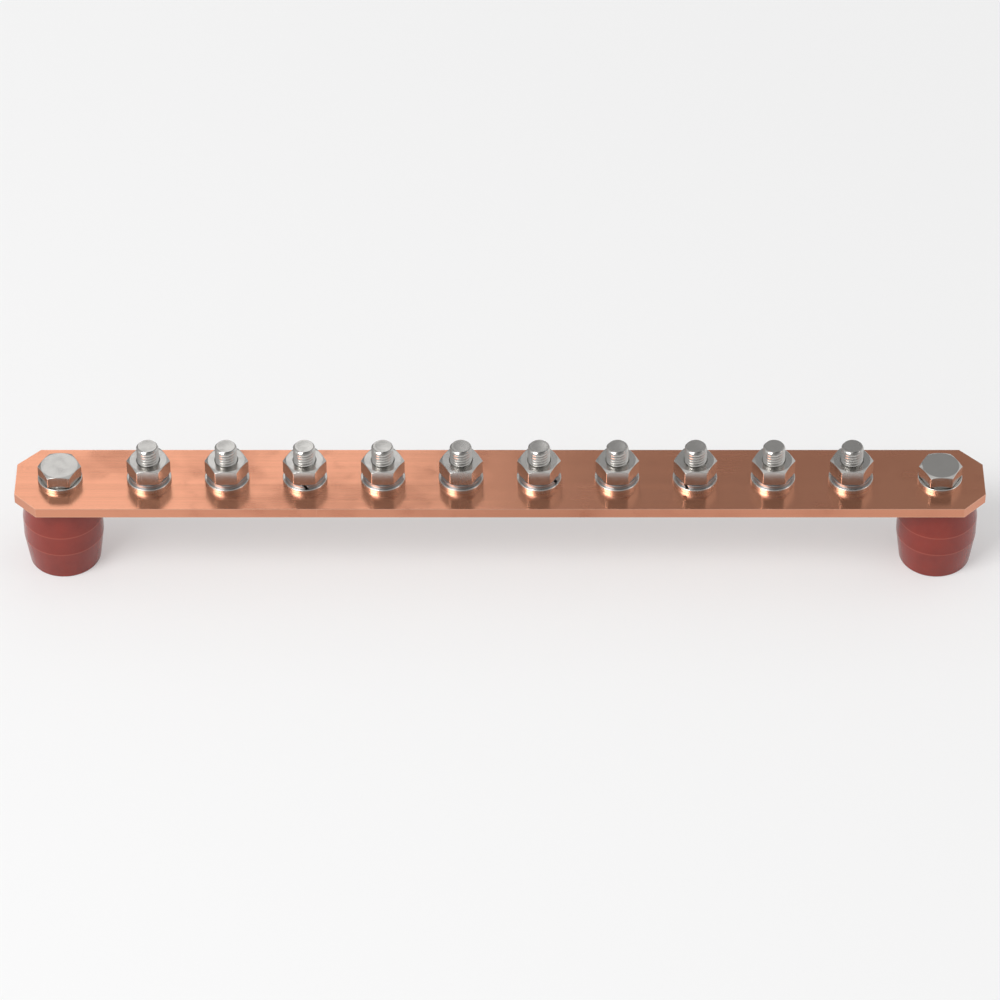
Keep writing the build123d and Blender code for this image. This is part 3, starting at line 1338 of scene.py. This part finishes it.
@dataclass(frozen=True)
class MetalFinish:
    """Hardware with turned ends, drawn flanks, a tone that differs from piece to piece and painted shade
    in the thread roots.
    """

    name: str
    tone: Colour
    shade: Colour
    roughness: tuple[float, float]
    # The dark colour painted into the thread roots as shade in the grooves
    grease: Colour = (0.16, 0.15, 0.14, 1.0)
    ring_spacing: float = 0.35 * MILLIMETRE
    clouds: Mark = Mark.round(6, 0.40, 0.70, shade=0.16, dulling=0.30)
    specks: Mark = Mark.round(0.7, 0.64, 0.74, shade=0.25, dulling=0.0)
    drawing: Mark = Mark((0.4 * MILLIMETRE, 0.4 * MILLIMETRE, 6 * MILLIMETRE), (0.0, 1.0),
                         shade=0.20, dulling=0.40)
    lot_shade: float = 0.30
    lot_dulling: float = 0.25
    groove_shade: float = 0.0
    groove_radii: tuple[float, float] = (4.2 * MILLIMETRE, 4.95 * MILLIMETRE)
    shank_radius: float = 5.15 * MILLIMETRE
    edge_radius: float = 0.4 * MILLIMETRE
    edge_gain: float = 6.0
    edge_brightness: float = 0.6
    relief: float = 0.002 * MILLIMETRE

    def material(self) -> bpy.types.Material:
        """Write the material.

        Returns:
            The material.
        """
        coat = Coating(self.name)
        loose = coat.attribute("local", "Vector")
        lot = coat.attribute("lot", "Fac")
        x, y, z = coat.parts(loose)
        own = coat.vector(x, y, z + lot)
        shade, dull = coat.worn(own, [self.clouds, self.specks])
        flat = coat.effect(Facing, "Flat")
        texture = coat.between(flat, coat.marks(own, self.drawing),
                               coat.effect(TurningMarks, Vector=loose, Spacing=self.ring_spacing))
        root, crest = self.groove_radii
        radius = coat.radius(loose)
        on_shank = 1 - coat.ramp(radius, crest, self.shank_radius)
        thread = on_shank * (1 - flat)
        texture = texture * (1 - thread)
        # Painted shade: the thread's roots are darkened by their radius, as if shaded in the grooves
        groove = thread * (1 - coat.ramp(radius, root, crest))
        shade = shade + texture * self.drawing.shade + lot * self.lot_shade
        dull = dull + texture * self.drawing.dulling + lot * self.lot_dulling
        edges = coat.effect(EdgeWear, Radius=self.edge_radius, Gain=self.edge_gain)
        colour = coat.blend(shade, self.tone, self.shade)
        colour = coat.blend(edges * self.edge_brightness, colour, self.tone)
        return coat.finish({
            "Base Color": coat.blend(groove * self.groove_shade, colour, self.grease), "Metallic": 1.0,
            "Roughness": coat.between(coat.least(dull, 1.0), *self.roughness),
            "Normal": coat.bump(texture, self.relief)})


@dataclass(frozen=True)
class PolyesterFinish:
    """Moulded polyester with chopped glass fibre showing faintly and a painted highlight on its rounded
    edges and along its band's edges.
    """

    name: str = "moulded_polyester_red"
    ground: Colour = (0.255, 0.028, 0.016, 1.0)
    cloud: Colour = (0.150, 0.015, 0.010, 1.0)
    # The lighter colour of the painted highlight on the edges and the band's lines
    rubbed: Colour = (0.44, 0.10, 0.06, 1.0)
    roughness: tuple[float, float] = (0.16, 0.32)
    clouds: Mark = Mark.round(16, 0.30, 0.75, shade=0.45, dulling=0.40)
    skin: Mark = Mark.round(0.9, 0.0, 1.0, shade=0.10, dulling=0.30)
    fibre_turns: tuple[float, ...] = (0.3, 1.35, 2.5)
    fibre_size: tuple[float, float, float] = (2.5 * MILLIMETRE, 0.3 * MILLIMETRE, 0.3 * MILLIMETRE)
    fibre_limits: tuple[float, float] = (0.66, 0.70)
    fibre_brightness: float = 0.15
    band_edges: tuple[float, float] = (15.0 * MILLIMETRE, 25.0 * MILLIMETRE)
    # Width and brightness of the painted highlight lines at the band's edges
    rub_width: float = 0.5 * MILLIMETRE
    rub_brightness: float = 0.5
    edge_radius: float = 0.8 * MILLIMETRE
    edge_gain: float = 5.0
    relief: float = 0.003 * MILLIMETRE

    def material(self) -> bpy.types.Material:
        """Write the material.

        Returns:
            The material.
        """
        coat = Coating(self.name)
        place = coat.get("ShaderNodeTexCoord", "Object")
        x, y, z = coat.parts(place)
        upright = coat.vector(x + y, z, x - y)
        fibres = 0.0
        for turn in self.fibre_turns:
            strand = Mark(self.fibre_size, self.fibre_limits, turn=turn)
            fibres = coat.most(fibres, coat.marks(upright, strand))
        # Painted highlight: rounded edges and thin lines at the band's edges are lightened, as creases
        # that catch the light
        painted_highlight = coat.effect(EdgeWear, Radius=self.edge_radius, Gain=self.edge_gain)
        for level in self.band_edges:
            away = coat.math("ABSOLUTE", z - level)
            painted_highlight = coat.most(painted_highlight, 1 - coat.ramp(away, 0.0, self.rub_width))
        darkening, dull = coat.worn(place, [self.clouds, self.skin])
        colour = coat.blend(darkening, self.ground, self.cloud)
        bright = fibres * self.fibre_brightness + painted_highlight * self.rub_brightness
        return coat.finish({
            "Base Color": coat.blend(bright, colour, self.rubbed),
            "Roughness": coat.between(coat.least(dull, 1.0), *self.roughness),
            "Normal": coat.bump(coat.marks(place, self.skin) + fibres, self.relief)})


# The tone and the shade of each metal
STAINLESS = ((0.68, 0.665, 0.64, 1.0), (0.42, 0.41, 0.395, 1.0))
BLUED = ((0.44, 0.44, 0.445, 1.0), (0.25, 0.25, 0.26, 1.0))
YELLOW = ((0.83, 0.62, 0.31, 1.0), (0.55, 0.37, 0.16, 1.0))


class Finish(Enum):
    """The object's finishes, each with the record's slot that it belongs to."""

    COPPER = ("bare_copper", CopperFinish())
    TURNED_STEEL = ("stainless_steel", MetalFinish(
        "turned_stainless", *STAINLESS, (0.18, 0.32), groove_shade=0.75))
    STAMPED_STEEL = ("stainless_steel", MetalFinish(
        "stamped_stainless", *STAINLESS, (0.20, 0.36), ring_spacing=1.2 * MILLIMETRE))
    SPRING_STEEL = ("spring_steel", MetalFinish("blued_spring_steel", *BLUED, (0.30, 0.48)))
    POLYESTER = ("moulded_polyester", PolyesterFinish())
    BRASS = ("insert_brass", MetalFinish("turned_brass", *YELLOW, (0.22, 0.40), groove_shade=0.6))

    @property
    def slot(self) -> str:
        """The name of the record's slot."""
        return self.value[0]

    @property
    def material(self) -> bpy.types.Material:
        """The finish's material, written on its first use."""
        recipe = self.value[1]
        return bpy.data.materials.get(recipe.name) or recipe.material()


@dataclass(frozen=True)
class Lamp:
    """A soft rectangular lamp that looks at the object."""

    name: str
    place: tuple[float, float, float]
    size: tuple[float, float]
    power: float

    def hang(self) -> None:
        """Hang the lamp and turn it to the object."""
        light = bpy.data.lights.new(self.name, "AREA")
        light.shape = "RECTANGLE"
        light.size, light.size_y = self.size
        light.energy = self.power
        hung = bpy.data.objects.new(self.name, light)
        hung.location = self.place
        hung.rotation_euler = (-Vector(self.place)).to_track_quat("-Z", "Y").to_euler()
        bpy.context.scene.collection.objects.link(hung)


@dataclass(frozen=True)
class Studio:
    """The pale floor, the soft light and the camera."""

    floor_half: float = 30.0
    floor_colour: Colour = (0.88, 0.88, 0.88, 1.0)
    floor_roughness: float = 0.7
    floor_gloss: float = 0.2
    floor_glow: float = 0.35
    floor_fade: tuple[float, float] = (0.3, 1.1)
    mirrored_fade: tuple[float, float] = (0.15, 0.9)
    backdrop: float = 0.92
    bright_way: float = math.radians(16)
    sky: tuple[float, float] = (0.26, 1.10)
    far_floor: tuple[float, float] = (0.30, 1.0)
    overhead: tuple[float, float] = (0.75, 1.0)
    overhead_glow: float = 0.45
    lamps: tuple[Lamp, ...] = (
        Lamp("key_lamp", (-1.6, -1.4, 2.3), (1.5, 1.5), 60.0),
        Lamp("back_lamp", (-0.40, 1.35, 1.21), (0.75, 0.5), 1.15),
        Lamp("side_lamp", (1.9, -0.6, 0.7), (0.5, 1.0), 3.0),
    )
    azimuth: float = 0.0
    elevation: float = math.radians(42)
    lens: float = 180.0
    sensor: float = 36.0
    bar_share: float = 0.965

    def build(self) -> None:
        """Make the floor, the world, the lamps and the camera."""
        self.make_floor()
        self.make_world()
        for lamp in self.lamps:
            lamp.hang()
        self.make_camera()
        bpy.context.scene.view_settings.view_transform = "Standard"

    def sideways(self, graph: Graph, place: Field) -> Field:
        """How far a point lies along the line between the two bright sides."""
        x, y, _ = graph.parts(place)
        return x * math.cos(self.bright_way) + y * math.sin(self.bright_way)

    def make_floor(self) -> None:
        """Lay a plain pale floor that fades into the background far from the object."""
        half = self.floor_half
        mesh = bpy.data.meshes.new("studio_floor")
        corners = [(-half, -half, 0), (half, -half, 0), (half, half, 0), (-half, half, 0)]
        mesh.from_pydata(corners, [], [(0, 1, 2, 3)])
        floor = bpy.data.objects.new("studio_floor", mesh)
        bpy.context.scene.collection.objects.link(floor)
        floor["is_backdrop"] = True
        coat = Coating("studio_floor")
        surface = coat.finish({
            "Base Color": self.floor_colour, "Roughness": self.floor_roughness,
            "Specular IOR Level": self.floor_gloss})
        camera, glossy, through = (
            coat.get("ShaderNodeLightPath", name)
            for name in ("Is Camera Ray", "Is Glossy Ray", "Is Transmission Ray"))
        place = coat.get("ShaderNodeTexCoord", "Object")
        distance = coat.radius(place)
        side = self.sideways(coat, place) / distance
        level = coat.between(camera, coat.between(side * side, *self.far_floor), 1.0)
        glow = coat.get("ShaderNodeEmission", 0, {
            "Color": (self.backdrop,) * 3 + (1.0,), "Strength": level})
        near, far = (
            coat.between(camera, mirrored, seen)
            for mirrored, seen in zip(self.mirrored_fade, self.floor_fade))
        share = coat.between(coat.ramp(distance, near, far), self.floor_glow, 1.0)
        share = share * coat.most(camera, coat.most(glossy, through))
        lit = Field(coat, coat.shader.outputs[0])
        mixed = coat.get("ShaderNodeMixShader", 0, {0: share, 1: lit, 2: glow})
        coat.feed(coat.tree.nodes["Material Output"].inputs["Surface"], mixed)
        mesh.materials.append(surface)

    def make_world(self) -> None:
        """Light the object from a sky with two bright sides, so that metal shows its form."""
        world = bpy.data.worlds.new("studio_sky")
        world.use_nodes = True
        bpy.context.scene.world = world
        graph = Graph(world.node_tree)
        way = graph.get("ShaderNodeTexCoord", "Generated")
        side = self.sideways(graph, way)
        up = graph.parts(way)[2]
        sky = graph.between(side * side, *self.sky) + graph.ramp(up, *self.overhead) * self.overhead_glow
        camera = graph.get("ShaderNodeLightPath", "Is Camera Ray")
        level = graph.between(camera, sky, self.backdrop)
        graph.feed(world.node_tree.nodes["Background"].inputs["Color"], graph.vector(level, level, level))

    def make_camera(self) -> None:
        """Set a long lens so far off that the bar nearly fills the picture's width."""
        low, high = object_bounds()
        distance = (high.x - low.x) / self.bar_share * self.lens / self.sensor
        back = Vector((math.sin(self.azimuth) * math.cos(self.elevation),
                       -math.cos(self.azimuth) * math.cos(self.elevation), math.sin(self.elevation)))
        camera = bpy.data.cameras.new("camera")
        camera.lens = self.lens
        camera.sensor_width = self.sensor
        held = bpy.data.objects.new("camera", camera)
        held.location = (low + high) / 2 + back * distance
        held.rotation_euler = (-back).to_track_quat("-Z", "Y").to_euler()
        bpy.context.scene.collection.objects.link(held)
        bpy.context.scene.camera = held


def main() -> None:
    """Load the frame, dress every piece and light the object."""
    logging.basicConfig(level=logging.INFO, format="%(name)s: %(message)s")
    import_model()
    Studio().build()
    for assembly in (Busbar(), Supports(), TerminalRow()):
        assembly.build()


if __name__ == "__main__":
    main()
